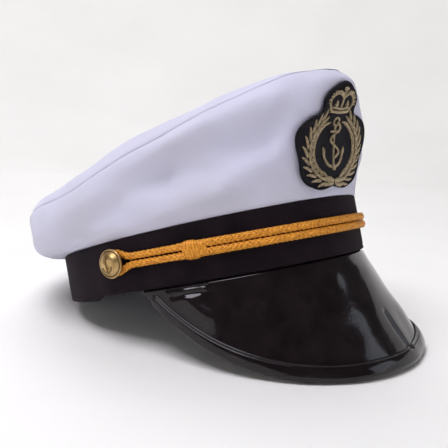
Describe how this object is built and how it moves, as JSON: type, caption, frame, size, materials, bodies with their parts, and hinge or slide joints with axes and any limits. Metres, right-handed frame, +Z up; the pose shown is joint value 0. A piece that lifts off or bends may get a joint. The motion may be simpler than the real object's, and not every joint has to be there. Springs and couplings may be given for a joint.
{
  "type": "sailor cap",
  "caption": "Soft sailor cap: flared cloth crown with a raised front, head band, bound glossy peak, doubled cord held by side buttons, embroidered front badge.",
  "frame": {"origin": "on the surface it rests on, below the middle of the cap's box", "axes": "+Z up, front of the cap towards -Y, wearer's right towards -X"},
  "size_m": [0.1972, 0.2746, 0.1559],
  "materials": {
    "white_cloth": "matt twill",
    "black_cloth": "matt ribbed band",
    "gloss_black": "high gloss",
    "gold_braid": "satin braid",
    "brass": "satin",
    "dark_felt": "matt felt",
    "bullion": "metallic thread"
  },
  "bodies": {
    "root": {"crown_side": "white_cloth", "crown_top": "white_cloth", "hat_band": "black_cloth", "peak": "gloss_black", "peak_binding": "gloss_black", "cord": "gold_braid", "knot_right": "gold_braid", "knot_left": "gold_braid", "button_right": "brass", "button_left": "brass", "badge_patch": "dark_felt", "badge_wreath": "bullion", "badge_anchor": "bullion", "badge_crown": "bullion"}
  },
  "joints": []
}
